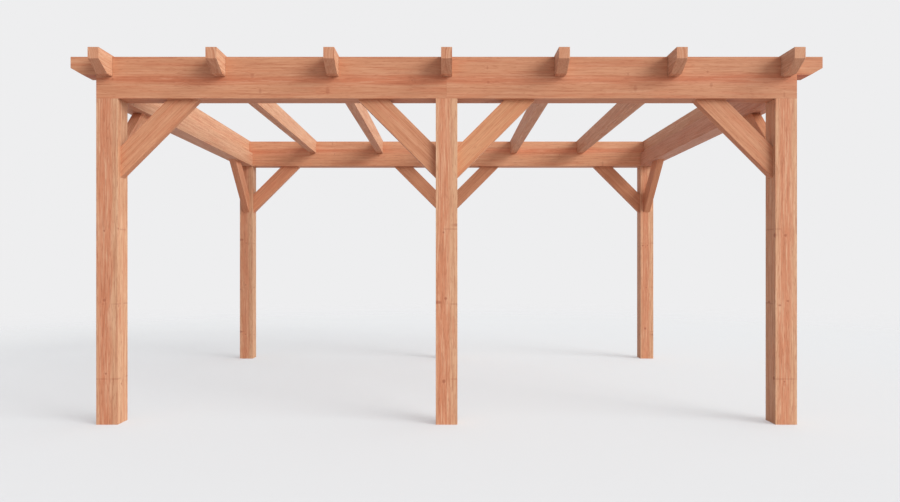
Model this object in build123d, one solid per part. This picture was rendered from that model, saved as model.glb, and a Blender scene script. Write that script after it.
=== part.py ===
from build123d import *
import math
import os

# Wooden patio cover, in millimetres. X runs along the front, the front faces -Y, Z is up.
# The origin is on the floor, midway between the posts both ways.

# Posts
post_side = 153.0          # square section
post_height = 2306.0       # floor to the underside of the beams
post_pitch = 2400.0        # post centre to post centre along the front
depth_pitch = 3440.0       # front post centre to back post centre

# Front and back beams, as thick as the posts so that their faces are flush
beam_height = 294.0
beam_overhang = 181.0      # tail beyond the outer face of the corner post
beam_nose = 79.0           # plumb face left at the end of the tail
beam_tail_depth = 126.0    # full depth of the tail, beside the post

# Rafters, lying in housings cut in the top of the beams
rafter_width = 75.0
rafter_height = 149.0
rafter_overhang = 195.0    # tail beyond the outer face of the beam
rafter_nose = 78.0
spaces_per_bay = 3         # rafter spaces between two posts
housing_depth = 139.0      # less than the rafter, so its top stands a little proud
housing_clearance = 0.5    # each side of the rafter

# Slope of the cut under every tail, from level
tail_angle = 30.0

# Knee braces, cut at 45 degrees, level at the head and plumb at the foot
brace_thickness = 70.0
brace_width = 155.0
brace_leg = 554.0          # from the corner to the far end of the foot, and of the head

# Positions that follow from the sizes above
beam_top = post_height + beam_height
seat_level = beam_top - housing_depth
rafter_top = seat_level + rafter_height
rafter_pitch = post_pitch / spaces_per_bay
row_y = depth_pitch / 2
half_post = post_side / 2
post_outer_x = post_pitch + half_post
beam_tip_x = post_outer_x + beam_overhang
beam_outer_y = row_y + half_post
beam_inner_y = row_y - half_post
rafter_tip_y = beam_outer_y + rafter_overhang
tail_slope = math.tan(math.radians(tail_angle))
brace_inner_leg = brace_leg - brace_width * math.sqrt(2)

ON_FLOOR = (Align.CENTER, Align.CENTER, Align.MIN)
ROWS = {"front": -1, "back": 1}
SIDES = {"left": -1, "right": 1}


def prism(plane, points, thickness):
    """A flat outline on the plane, thickened evenly to both sides of it."""
    outline = make_face(Polyline(*points, close=True))
    return extrude(plane * outline, amount=thickness / 2, both=True)


def post(x, y):
    return Pos(x, y, 0) * Box(post_side, post_side, post_height, align=ON_FLOOR)


def beam_half(row, side):
    """One length of a beam, from the middle post out to its tail, housed for the rafters."""
    tail_under = beam_top - beam_tail_depth
    flat_end_x = beam_tip_x - (beam_tail_depth - beam_nose) / tail_slope
    outline = [
        (0, post_height),
        (post_outer_x, post_height),
        (post_outer_x, tail_under),
        (flat_end_x, tail_under),
        (beam_tip_x, beam_top - beam_nose),
        (beam_tip_x, beam_top),
        (0, beam_top),
    ]
    half = prism(Plane.XZ, [(side * x, z) for x, z in outline], post_side)
    housing_width = rafter_width + housing_clearance * 2
    housing = Box(housing_width, post_side * 2, housing_depth * 2)
    for step in range(spaces_per_bay + 1):
        half -= Pos(side * step * rafter_pitch, 0, beam_top) * housing
    return Pos(0, row * row_y, 0) * half


def side_beam(side):
    """Fills the height between the underside of the beams and the seat of the end rafter."""
    length = beam_inner_y * 2
    height = seat_level - post_height
    timber = Box(post_side, length, height, align=ON_FLOOR)
    return Pos(side * post_pitch, 0, post_height) * timber


def rafter(x):
    """A straight timber with the same undercut tail at both ends."""
    flat_end_y = rafter_tip_y - (rafter_height - rafter_nose) / tail_slope
    front_half = [
        (-rafter_tip_y, rafter_top),
        (-rafter_tip_y, rafter_top - rafter_nose),
        (-flat_end_y, seat_level),
    ]
    back_half = [(-y, z) for y, z in reversed(front_half)]
    return Pos(x, 0, 0) * prism(Plane.YZ, front_half + back_half, rafter_width)


def brace_outline(face, away):
    """Outline of a brace whose foot is on a post face and whose head runs away from it."""
    return [
        (face, post_height - brace_leg),
        (face, post_height - brace_inner_leg),
        (face + away * brace_inner_leg, post_height),
        (face + away * brace_leg, post_height),
    ]


def beam_brace(row, post_x, away):
    outline = brace_outline(post_x + away * half_post, away)
    return Pos(0, row * row_y, 0) * prism(Plane.XZ, outline, brace_thickness)


def side_brace(side, row):
    outline = brace_outline(row * beam_inner_y, -row)
    return Pos(side * post_pitch, 0, 0) * prism(Plane.YZ, outline, brace_thickness)


def save(shape, node):
    export_step(shape, "parts/" + node + ".step")


os.makedirs("parts", exist_ok=True)

for row_name, row in ROWS.items():
    save(post(0, row * row_y), row_name + "_middle_post")
    for side_name, side in SIDES.items():
        corner_x = side * post_pitch
        save(post(corner_x, row * row_y), row_name + "_" + side_name + "_post")
        save(beam_half(row, side), row_name + "_beam_" + side_name)
        save(beam_brace(row, corner_x, -side), row_name + "_" + side_name + "_brace")
        save(beam_brace(row, 0, side), row_name + "_middle_" + side_name + "_brace")
        save(side_brace(side, row), side_name + "_" + row_name + "_brace")

for side_name, side in SIDES.items():
    save(side_beam(side), side_name + "_side_beam")

for place in range(spaces_per_bay * 2 + 1):
    offset = place - spaces_per_bay
    save(rafter(offset * rafter_pitch), "rafter_" + str(place + 1))
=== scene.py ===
import math
import random

import bmesh
import bpy
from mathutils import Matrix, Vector


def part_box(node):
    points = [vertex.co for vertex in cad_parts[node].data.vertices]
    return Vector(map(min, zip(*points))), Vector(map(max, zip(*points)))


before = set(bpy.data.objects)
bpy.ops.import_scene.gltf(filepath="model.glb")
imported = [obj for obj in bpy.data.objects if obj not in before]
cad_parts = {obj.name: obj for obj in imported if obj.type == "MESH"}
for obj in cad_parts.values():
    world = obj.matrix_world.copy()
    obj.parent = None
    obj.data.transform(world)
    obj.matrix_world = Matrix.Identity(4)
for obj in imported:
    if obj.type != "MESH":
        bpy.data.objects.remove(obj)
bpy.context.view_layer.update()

# The photograph's frame, and the pixel where level lines that run straight back meet
PHOTO_WIDTH, PHOTO_HEIGHT = 900, 502
VANISHING_X, VANISHING_Y = 446.6, 263.4

# Camera, in millimetres for the lens and metres for the place
LENS, SENSOR = 28.0, 36.0
STAND_OFF = 4.946          # from the front faces of the posts
EYE_HEIGHT = 1.140

# Edges of the timbers, in metres
ARRIS, ARRIS_STEPS = 0.001, 2
WELD_GAP = 0.00001         # corners nearer than this are one

# The log that every timber takes its own length of, in metres. In a pair in brackets, here and
# below, something begins at the first number and is full at the second
PITH_STRAY = 0.02          # how far the pith wanders
HEART, HEART_STRAY = (0.065, 0.035), 0.04  # the red heart, from the pith
RING_SPACING = 0.0105
SWELL_STRAY, WAVE_STRAY = 0.025, 0.008     # how far rings leave a circle, broadly and closely
WHORL_SPACING = 0.53       # knots come in rings of branches, this far apart
WHORL_HEIGHT = 0.853       # one such ring on the posts, above the floor
WHORLS_APART = 20          # rings of knots from one timber's length of the log to the next
CLEAR_WHORL = 2            # the ring of knots that is left out, counted from WHORL_HEIGHT
WHORL_LINE = (0.008, 0.002)                # from the middle of a ring of knots
BRANCHES = 4               # in a ring of knots
BRANCH_STRAY = 0.09        # how far along the log they spread
KNOT_RADIUS = 0.006        # of the smallest knots. The largest have twice that
KNOT_CHANCE = (0.2, 1.0)   # from the smallest to the largest
KNOT_EDGE = (1.6, 0.5)     # in radii of the knot
KNOT_LEFT_OUT = 0.05       # what the ring that is left out keeps of a knot's size
KNOT_REACH, KNOT_BEND = (0.04, 0.0), 0.01  # where rings bend round a knot, and how far

# Years of growth, as shares of a year and levels of noise
LATE_COMES, LATE_GOES = (0.3, 0.9), (1.0, 0.92)
YEAR_PACE, YEARS_APART = 0.7, 40.0         # how soon years differ, and how far timbers are apart
PALE_YEARS, DARK_YEARS = (0.52, 0.72), (0.48, 0.28)

# Noise in the log: its changes in a metre across the grain and along it, and its detail
LOG_NOISE = {
    "wander": (0.0, 0.8, 1.0),
    "sway": (0.0, 1.1, 1.0),
    "swell": (2.5, 0.9, 2.0),
    "wave": (20.0, 0.8, 2.0),
    "broad": (11.0, 0.7, 2.0),
}

# The same for streaks. A timber's fineness multiplies the changes across the grain
GRAIN_NOISE = {
    "flame": (45.0, 2.6, 2.0),
    "band": (75.0, 2.0, 2.0),
    "streak": (150.0, 4.6, 2.0),
    "fleck": (195.0, 20.0, 1.0),
    "fibre": (420.0, 16.0, 3.0),
}

# Streaks in the order that they are laid, the first under the rings and the rest over them:
# the noise, its levels where a shade begins and is full, the most of that shade, and the shade
UNDER_STREAKS = (
    ("flame", 0.48, 0.66, 0.60, "red"),
)
OVER_STREAKS = (
    ("band", 0.52, 0.72, 0.45, "pale"),
    ("band", 0.46, 0.30, 0.35, "late"),
    ("streak", 0.54, 0.70, 0.55, "pale"),
    ("streak", 0.46, 0.30, 0.50, "late"),
    ("fibre", 0.50, 0.80, 0.45, "pale"),
    ("fleck", 0.54, 0.74, 0.50, "late"),
)

# How the years show along a timber, and how its ends differ from its sides
YEARS_SHOW, YEARS_SHOW_ON_ENDS = 0.13, 0.51
LATE_SHOWS, ENDS_DARKER = 0.15, 0.12
CUT_ACROSS = (0.2, 0.8)    # how squarely a face cuts the grain, from a side to an end
ENDS_REDDER = 0.3
ENDS_LOSE_STREAKS = 0.8
BROKEN_LINE = (0.45, 0.6)  # levels of noise where the line at a ring of knots shows

# Surface of the wood
ROUGHNESS, FIBRE_ROUGHNESS, END_ROUGHNESS = 0.58, 0.12, 0.15
GLOSS = 0.2
RELIEF_STRENGTH, RELIEF_DEPTH = 0.35, 0.0004
FIBRE_RELIEF, STREAK_RELIEF, LATE_RELIEF, KNOT_RELIEF = 0.5, 0.3, 0.35, 0.4

# Entries for timbers, found by a word in the name. The first word that fits counts.
# Tone beside the shades of the wood, and for the timbers marked below also painted light or
# painted shade
TONES_AND_PAINTED_LIGHT = {
    # painted shade: the left front post darker than the other posts, as if less lit, farther from
    # the light on the right
    "front_left_post": (0.92, 0.99, 1.0),
    "_post": (0.97, 1.07, 1.08),
    # painted light: the right part of the back beam lighter, as if lit more from the right
    "back_beam_right": (1.02, 1.0, 0.97),
    # the back beam's wood tone with painted light: lighter than the front beam, lifting it out of
    # the rafters' shade
    "back_beam_left": (0.965, 0.91, 0.88),
    "_beam_": (0.875, 0.795, 0.755),
    # painted shade: darker and more mauve than the left side beam, for the face it shows in shade
    "right_side_beam": (0.88, 0.89, 0.99),
    "left_side_beam": (0.94, 1.0, 1.05),
    # painted light: lighter than the other braces, lit as if the front beam and corner brace did
    # not shade it
    "left_front_brace": (1.12, 1.09, 1.09),
    # painted light: the braces at the back left lighter than the other braces, lifted out of shade
    "left_back_brace": (1.0, 0.91, 0.88),
    "back_left_brace": (1.04, 0.94, 0.90),
    "front_middle_right_brace": (0.955, 0.905, 0.81),
    "_brace": (0.90, 0.82, 0.77),
    "rafter_7": (0.98, 1.10, 1.17),
    "rafter": (0.94, 0.98, 1.01),
}
# Fineness of the grain, contrast of its streaks, strength of its knots, and of the line round
# a post at each ring of knots
GRAINS = {
    "_post": (0.85, 0.95, 0.6, 0.3),
    "_beam_": (0.65, 0.6, 0.3, 0.0),
    "side_beam": (0.8, 0.75, 0.3, 0.0),
    "_brace": (0.9, 0.65, 0.3, 0.0),
    "rafter": (1.0, 0.85, 0.3, 0.0),
}
# Where the pith may lie from the middle of the timber: a range each way across the grain, and
# whether the first may be to either side
PITHS = {
    "_post": ((-0.02, -0.008), (-0.058, -0.048), False),
    "_beam_": ((-0.035, -0.025), (-0.05, 0.05), False),
    "side_beam": ((-0.02, 0.02), (-0.03, 0.03), False),
    "_brace": ((0.09, 0.13), (-0.03, 0.03), True),
    "rafter": ((0.14, 0.18), (-0.02, 0.02), True),
}

# Soft suns, as strong as a colour needs to render about as it is written: where each shines
# from, the angle that it spans in degrees, and its strength
SUNS = {
    "key_light": ((1.0, -1.05, 0.46), 30.0, 1.4),
    "side_light": ((1.0, -0.5, 0.57), 28.0, 1.25),
}
SUN_COLOUR = (0.97, 1.01, 0.97)

# Sky and backdrop
SKY_TOWARD, SKY_FOCUS = (0.96, 0.0, 0.28), 3.0  # where the sky is brightest, and how closely
DIM_SKY, DIM_COLOUR = 0.46, (1.03, 0.98, 1.02, 1.0)
BRIGHT_SKY, BRIGHT_COLOUR = 1.34, (0.93, 1.03, 0.98, 1.0)
BACKDROP = (238, 238, 239)              # as a screen shows it

# Floor, in metres
FLOOR_RADIUS, FLOOR_SIDES = 40.0, 96
FADE_BEGINS, FADE_ENDS = 4.0, 14.0
FLOOR_SEEN = (0.80, 0.787, 0.822, 1.0)
FLOOR_BOUNCED = (0.60, 0.51, 0.505, 1.0)  # as it lights the timbers
FLOOR_HAZE = 0.35                       # share of the backdrop that shows through the floor

UP, RIGHT, BACK = Vector((0, 0, 1)), Vector((1, 0, 0)), Vector((0, 1, 0))


class Wire:
    """One output in a node tree. Arithmetic on it adds Math nodes."""

    def __init__(self, finish, socket):
        self.finish = finish
        self.socket = socket

    def __add__(self, other):
        return self.finish.maths("ADD", self, other)

    def __sub__(self, other):
        return self.finish.maths("SUBTRACT", self, other)

    def __rsub__(self, other):
        return self.finish.maths("SUBTRACT", other, self)

    def __mul__(self, other):
        return self.finish.maths("MULTIPLY", self, other)

    def __truediv__(self, other):
        return self.finish.maths("DIVIDE", self, other)

    def __pow__(self, other):
        return self.finish.maths("POWER", self, other)

    __radd__ = __add__
    __rmul__ = __mul__


class Finish:
    """Writes the node tree of a material or of the world."""

    def __init__(self, owner):
        owner.use_nodes = True
        self.tree = owner.node_tree
        self.tree.nodes.clear()

    def node(self, kind, settings=None, inputs=None, out=0):
        """Adds a node, sets it up, fills or links its inputs, and returns one output."""
        node = self.tree.nodes.new("ShaderNode" + kind)
        for name, value in (settings or {}).items():
            setattr(node, name, value)
        for key, value in (inputs or {}).items():
            if isinstance(value, Wire):
                self.tree.links.new(value.socket, node.inputs[key])
            else:
                node.inputs[key].default_value = value
        return Wire(self, node.outputs[out]) if len(node.outputs) else node

    def maths(self, operation, *values):
        return self.node("Math", {"operation": operation}, dict(enumerate(values)))

    def vector(self, operation, *values, out=0):
        return self.node("VectorMath", {"operation": operation}, dict(enumerate(values)), out)

    def noise(self, place, across, along, detail):
        """Noise from 0 to 1, by its changes in a metre across the grain and along it."""
        stretched = self.vector("MULTIPLY", place, (across, across, along))
        return self.node("TexNoise", None, {"Vector": stretched, "Scale": 1.0, "Detail": detail})

    def ease(self, value, low, high):
        """0 below low, 1 above high, smooth between. Low may be the larger."""
        return self.node("MapRange", {"interpolation_type": "SMOOTHSTEP"},
                         {"Value": value, "From Min": low, "From Max": high})

    def mix(self, share, first, second):
        """Blends two colours. A Mix node has its colour sockets at places 6 and 7, and 2 out."""
        return self.node("Mix", {"data_type": "RGBA"}, {0: share, 6: first, 7: second}, out=2)


def srgb(red, green, blue):
    """A colour as a screen shows it, from 0 to 255, turned to scene values."""
    def to_scene(level):
        level /= 255
        return level / 12.92 if level <= 0.04045 else ((level + 0.055) / 1.055) ** 2.4
    return (to_scene(red), to_scene(green), to_scene(blue), 1.0)


# Shades of the wood
SHADES = {
    "pale": srgb(228, 179, 148),
    "tan": srgb(209, 152, 119),
    "red": srgb(205, 129, 97),
    "late": srgb(168, 98, 70),
    "knot": srgb(152, 78, 56),
}


def entry_for(node, entries):
    """The first entry whose word is in the timber's name."""
    return next(entry for word, entry in entries.items() if word in node)


def grain_of(node, middle):
    """The direction of a timber's grain, and one direction across it."""
    if node.endswith("_post"):
        return UP, RIGHT
    if node.startswith("rafter") or node.endswith("side_beam"):
        return BACK, RIGHT
    if node.endswith("_brace"):
        along_side = node.startswith(("left", "right"))
        level, across = (BACK, RIGHT) if along_side else (RIGHT, BACK)
        outward = level if middle.dot(level) > 0 else -level
        rise = outward if "middle" in node else -outward
        return (rise + UP).normalized(), across
    return RIGHT, BACK


def pith_of(node, chance):
    """Where the pith lies from the middle of a timber: near the front of posts and beams,
    beside thin timbers."""
    sideways, depthways, either_side = entry_for(node, PITHS)
    way = chance.choice((-1, 1)) if either_side else 1
    return way * chance.uniform(*sideways), chance.uniform(*depthways)


def log_place(finish, middle, grain, across, start):
    """Where a point lies in its log: two places across the grain and one along it."""
    place = finish.node("TexCoord", out="Object")
    from_middle = finish.vector("SUBTRACT", place, middle)
    side = finish.vector("DOT_PRODUCT", from_middle, across, out="Value")
    depth = finish.vector("DOT_PRODUCT", from_middle, grain.cross(across), out="Value")
    along = finish.vector("DOT_PRODUCT", from_middle, grain, out="Value") + start
    return side, depth, along


def knots(finish, turn, radius, along):
    """Branches that grow out from the pith in rings: a point's distance from the nearest one,
    the size of that one, and the line where a ring of them lies."""
    whorl = finish.maths("ROUND", along / WHORL_SPACING)
    whorl_chance = finish.node("TexWhiteNoise", {"noise_dimensions": "1D"}, {"W": whorl})
    spoke = turn * BRANCHES + whorl_chance * BRANCHES
    branch = finish.maths("FLOORED_MODULO", finish.maths("FLOOR", spoke), BRANCHES)
    key = finish.node("CombineXYZ", None, {0: whorl, 1: branch, 2: 0.0})
    chance = finish.node("TexWhiteNoise", {"noise_dimensions": "3D"}, {"Vector": key}, out="Value")
    shift = finish.node("TexWhiteNoise", {"noise_dimensions": "4D"}, {"Vector": key, "W": 1.0},
                        out="Value")
    sideways = (finish.maths("FRACT", spoke) - 0.5) / BRANCHES * math.tau * radius
    from_whorl = along - whorl * WHORL_SPACING
    lengthways = from_whorl + (shift - 0.5) * BRANCH_STRAY
    distance = (sideways * sideways + lengthways * lengthways) ** 0.5
    place_in_log = finish.maths("FLOORED_MODULO", whorl, WHORLS_APART)
    kept = 1.0 - finish.maths("COMPARE", place_in_log, CLEAR_WHORL, 0.5)
    growth = finish.ease(chance, *KNOT_CHANCE) * KNOT_RADIUS
    size = (KNOT_RADIUS + growth) * (kept + KNOT_LEFT_OUT)
    line = finish.ease(finish.maths("ABSOLUTE", from_whorl), *WHORL_LINE) * kept
    return distance, size, line


def rings(finish, radius, near_knot, noises, number):
    """Growth rings: the dark late wood of each year, and how pale or dark the year is."""
    growth = (radius + (noises["swell"] - 0.5) * SWELL_STRAY + near_knot * KNOT_BEND
              + (noises["wave"] - 0.5) * WAVE_STRAY) / RING_SPACING
    year = finish.maths("FRACT", growth)
    late = finish.ease(year, *LATE_COMES) * finish.ease(year, *LATE_GOES)
    place = growth * YEAR_PACE + number * YEARS_APART
    season = finish.node("TexNoise", {"noise_dimensions": "1D"},
                         {"W": place, "Scale": 1.0, "Detail": 3.0})
    return late, season


def timber_finish(node, number):
    """Reddish softwood, cut from a log with its pith at a place off the timber's centre."""
    low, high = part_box(node)
    middle = (Vector(low) + Vector(high)) / 2
    grain, across = grain_of(node, middle)
    pith = pith_of(node, random.Random(number))
    start = number * WHORLS_APART * WHORL_SPACING + middle.z - WHORL_HEIGHT
    fineness, contrast, knot_strength, line_strength = entry_for(node, GRAINS)
    # the timber's tone, which for some timbers holds painted light or painted shade
    tone_and_painted_light = entry_for(node, TONES_AND_PAINTED_LIGHT)
    shades = {name: tuple(value * share for value, share in zip(shade, tone_and_painted_light)) + (1.0,)
              for name, shade in SHADES.items()}

    material = bpy.data.materials.new(node + "_wood")
    finish = Finish(material)
    side, depth, along = log_place(finish, middle, grain, across, start)
    lumber = finish.node("CombineXYZ", None, {0: side, 1: depth, 2: along})
    noises = {name: finish.noise(lumber, *changes) for name, changes in LOG_NOISE.items()}
    for name, (wide, long, detail) in GRAIN_NOISE.items():
        noises[name] = finish.noise(lumber, wide * fineness, long, detail)

    x = side - pith[0] + (noises["wander"] - 0.5) * PITH_STRAY
    y = depth - pith[1] + (noises["sway"] - 0.5) * PITH_STRAY
    radius = (x * x + y * y) ** 0.5
    turn = finish.maths("ARCTAN2", y, x) / math.tau
    distance, size, line = knots(finish, turn, radius, along)
    near_knot = finish.ease(distance, *KNOT_REACH)
    late, season = rings(finish, radius, near_knot, noises, number)

    normal = finish.node("NewGeometry", out="True Normal")
    facing = finish.maths("ABSOLUTE", finish.vector("DOT_PRODUCT", normal, grain, out="Value"))
    end_grain = finish.ease(facing, *CUT_ACROSS)
    streaked = (1.0 - end_grain * ENDS_LOSE_STREAKS) * contrast

    def streaks(colour, layers):
        for noise, begins, full, most, shade in layers:
            share = finish.ease(noises[noise], begins, full) * most * streaked
            colour = finish.mix(share, colour, shades[shade])
        return colour

    heart = finish.ease(radius + (noises["broad"] - 0.5) * HEART_STRAY, *HEART)
    colour = finish.mix(heart, shades["tan"], shades["red"])
    colour = finish.mix(end_grain * ENDS_REDDER, colour, shades["red"])
    colour = streaks(colour, UNDER_STREAKS)
    ringed = YEARS_SHOW + end_grain * YEARS_SHOW_ON_ENDS
    colour = finish.mix(finish.ease(season, *PALE_YEARS) * ringed, colour, shades["pale"])
    colour = finish.mix(finish.ease(season, *DARK_YEARS) * ringed, colour, shades["late"])
    colour = finish.mix(late * LATE_SHOWS + end_grain * ENDS_DARKER, colour, shades["late"])
    colour = streaks(colour, OVER_STREAKS)
    if line_strength:
        broken_line = line * finish.ease(noises["broad"], *BROKEN_LINE)
        colour = finish.mix(broken_line * line_strength, colour, shades["knot"])
    knot = finish.ease(distance / size, *KNOT_EDGE) * (1.0 - end_grain)
    colour = finish.mix(knot * knot_strength, colour, shades["knot"])

    raised = noises["fibre"] * FIBRE_RELIEF + noises["streak"] * STREAK_RELIEF
    relief = raised * streaked + late * LATE_RELIEF - knot * KNOT_RELIEF
    bump = finish.node("Bump", None, {
        "Strength": RELIEF_STRENGTH, "Distance": RELIEF_DEPTH, "Height": relief})
    shader = finish.node("BsdfPrincipled", None, {
        "Base Color": colour,
        "Roughness": ROUGHNESS + noises["fibre"] * FIBRE_ROUGHNESS + end_grain * END_ROUGHNESS,
        "Specular IOR Level": GLOSS,
        "Normal": bump,
    })
    finish.node("OutputMaterial", None, {"Surface": shader})
    return material


def dress_timbers():
    """Eases the edges of every timber and gives it its own length of the log."""
    for number, node in enumerate(sorted(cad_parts)):
        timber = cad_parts[node]
        weld = timber.modifiers.new("joined_faces", "WELD")
        weld.merge_threshold = WELD_GAP
        bevel = timber.modifiers.new("eased_edges", "BEVEL")
        bevel.width = ARRIS
        bevel.segments = ARRIS_STEPS
        bevel.limit_method = "ANGLE"
        timber.data.materials.clear()
        timber.data.materials.append(timber_finish(node, number))


def soft_sun(name, toward, angle, strength):
    """An even light from far away, as soft as a source that spans the angle in degrees."""
    lamp = bpy.data.lights.new(name, "SUN")
    lamp.angle = math.radians(angle)
    lamp.energy = strength
    lamp.color = SUN_COLOUR
    light = bpy.data.objects.new(name, lamp)
    light.rotation_euler = Vector(toward).to_track_quat("Z", "Y").to_euler()
    bpy.context.scene.collection.objects.link(light)


def seen_rays(finish):
    """1 for the rays that show the backdrop: to the camera, in a gloss or through something."""
    camera, glossy, through = (finish.node("LightPath", out="Is " + kind + " Ray")
                               for kind in ("Camera", "Glossy", "Transmission"))
    return finish.maths("MAXIMUM", finish.maths("MAXIMUM", camera, glossy), through)


def lay_floor():
    """A pale round floor that fades into the backdrop far from the cover."""
    mesh = bpy.data.meshes.new("floor")
    outline = bmesh.new()
    bmesh.ops.create_circle(outline, cap_ends=True, segments=FLOOR_SIDES, radius=FLOOR_RADIUS)
    outline.to_mesh(mesh)
    outline.free()
    floor = bpy.data.objects.new("floor", mesh)
    bpy.context.scene.collection.objects.link(floor)
    material = bpy.data.materials.new("floor_paint")
    finish = Finish(material)
    white = finish.node("BsdfDiffuse", None, {"Color": FLOOR_SEEN})
    clear = finish.node("BsdfTransparent")
    seen = finish.node("MixShader", None, {0: FLOOR_HAZE, 1: white, 2: clear})
    bounced = finish.node("BsdfDiffuse", None, {"Color": FLOOR_BOUNCED})
    paint = finish.node("MixShader", None, {0: seen_rays(finish), 1: bounced, 2: seen})
    place = finish.node("TexCoord", out="Object")
    distance = finish.vector("LENGTH", place, out="Value")
    far = finish.ease(distance, FADE_BEGINS, FADE_ENDS)
    faded = finish.node("MixShader", None, {0: far, 1: paint, 2: clear})
    finish.node("OutputMaterial", None, {"Surface": faded})
    mesh.materials.append(material)


def light_world():
    """An even pale backdrop where it is seen, and a soft light on the timbers that is brighter
    from the right."""
    world = bpy.data.worlds.new("studio")
    bpy.context.scene.world = world
    finish = Finish(world)
    direction = finish.node("TexCoord", out="Generated")
    rightward = finish.vector("DOT_PRODUCT", direction, SKY_TOWARD, out="Value") * 0.5 + 0.5
    dim = finish.node("Background", None, {"Color": DIM_COLOUR, "Strength": DIM_SKY})
    bright = finish.node("Background", None, {"Color": BRIGHT_COLOUR, "Strength": BRIGHT_SKY})
    ambient = finish.node("MixShader", None, {0: rightward ** SKY_FOCUS, 1: dim, 2: bright})
    backdrop = finish.node("Background", None, {"Color": srgb(*BACKDROP), "Strength": 1.0})
    both = finish.node("MixShader", None, {0: seen_rays(finish), 1: ambient, 2: backdrop})
    finish.node("OutputWorld", None, {"Surface": both})


def place_camera():
    """A level camera in front of the middle of the cover."""
    lens = bpy.data.cameras.new("camera")
    lens.lens, lens.sensor_width = LENS, SENSOR
    lens.shift_x = (PHOTO_WIDTH / 2 - VANISHING_X) / PHOTO_WIDTH
    lens.shift_y = (VANISHING_Y - PHOTO_HEIGHT / 2) / PHOTO_WIDTH
    camera = bpy.data.objects.new("camera", lens)
    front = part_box("front_left_post")[0][1]
    camera.location = (0.0, front - STAND_OFF, EYE_HEIGHT)
    camera.rotation_euler = (math.pi / 2, 0.0, 0.0)
    bpy.context.scene.collection.objects.link(camera)
    bpy.context.scene.camera = camera


place_camera()
dress_timbers()
lay_floor()
light_world()
for sun_name, sun in SUNS.items():
    soft_sun(sun_name, *sun)
bpy.context.scene.view_settings.view_transform = "Standard"
